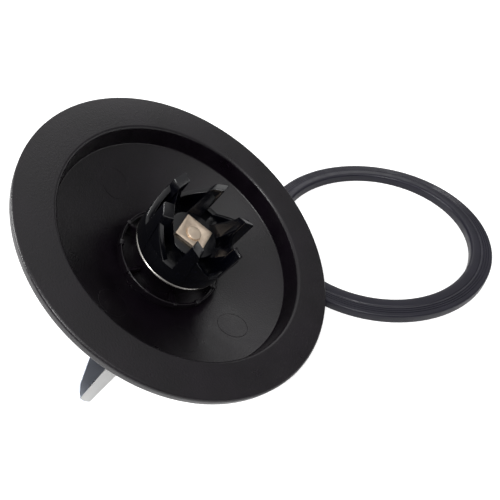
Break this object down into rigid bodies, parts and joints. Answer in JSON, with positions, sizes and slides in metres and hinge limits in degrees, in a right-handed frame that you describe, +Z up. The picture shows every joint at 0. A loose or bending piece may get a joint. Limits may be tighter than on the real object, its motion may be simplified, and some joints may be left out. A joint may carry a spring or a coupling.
{
  "type": "blender blade assembly",
  "caption": "Blender blade assembly with a black round base, a coupling of swept dogs, bent steel blades and a loose rubber seal ring, lying coupling side up.",
  "frame": {"origin": "middle of the whole part's footprint, on the surface it lies on", "axes": "+Z up from that surface, +Y away from the camera side, +X towards the low side of the tilted base's rim"},
  "size_m": [0.151, 0.1562, 0.0671],
  "materials": {
    "base_black": "fine matte texture",
    "coupling_black": "glossy",
    "rubber_black": "satin",
    "steel_bright": "turned and bright",
    "steel_blade": "brushed along the blade, ground edges",
    "brass_gold": "machined, pale gold",
    "bronze_bush": "sintered, dull",
    "spring_steel": "dark, oiled"
  },
  "bodies": {
    "base_unit": {"base": "base_black", "housing": "steel_bright", "housing_gasket": "rubber_black", "bush_top": "bronze_bush", "bush_bottom": "bronze_bush", "lip_seal": "rubber_black", "seal_washer": "steel_bright", "jug_gasket": "rubber_black", "lock_nut": "steel_bright", "seal_ring": "rubber_black"},
    "rotor": {"shaft": "steel_bright", "drive_square": "brass_gold", "coupling": "coupling_black", "top_washer": "steel_bright", "lower_washer": "steel_bright", "circlip": "spring_steel", "blade_collar": "steel_bright", "blade_short": "steel_blade", "blade_long": "steel_blade", "spring_washer": "steel_bright", "cap_nut": "steel_bright"}
  },
  "joints": [
    {"name": "drive_spin", "type": "hinge", "parent": "base_unit", "child": "rotor", "pos_m": [-0.03013, -0.02413, 0.03624], "axis": [0.5734, 0, 0.8192], "continuous": true}
  ]
}
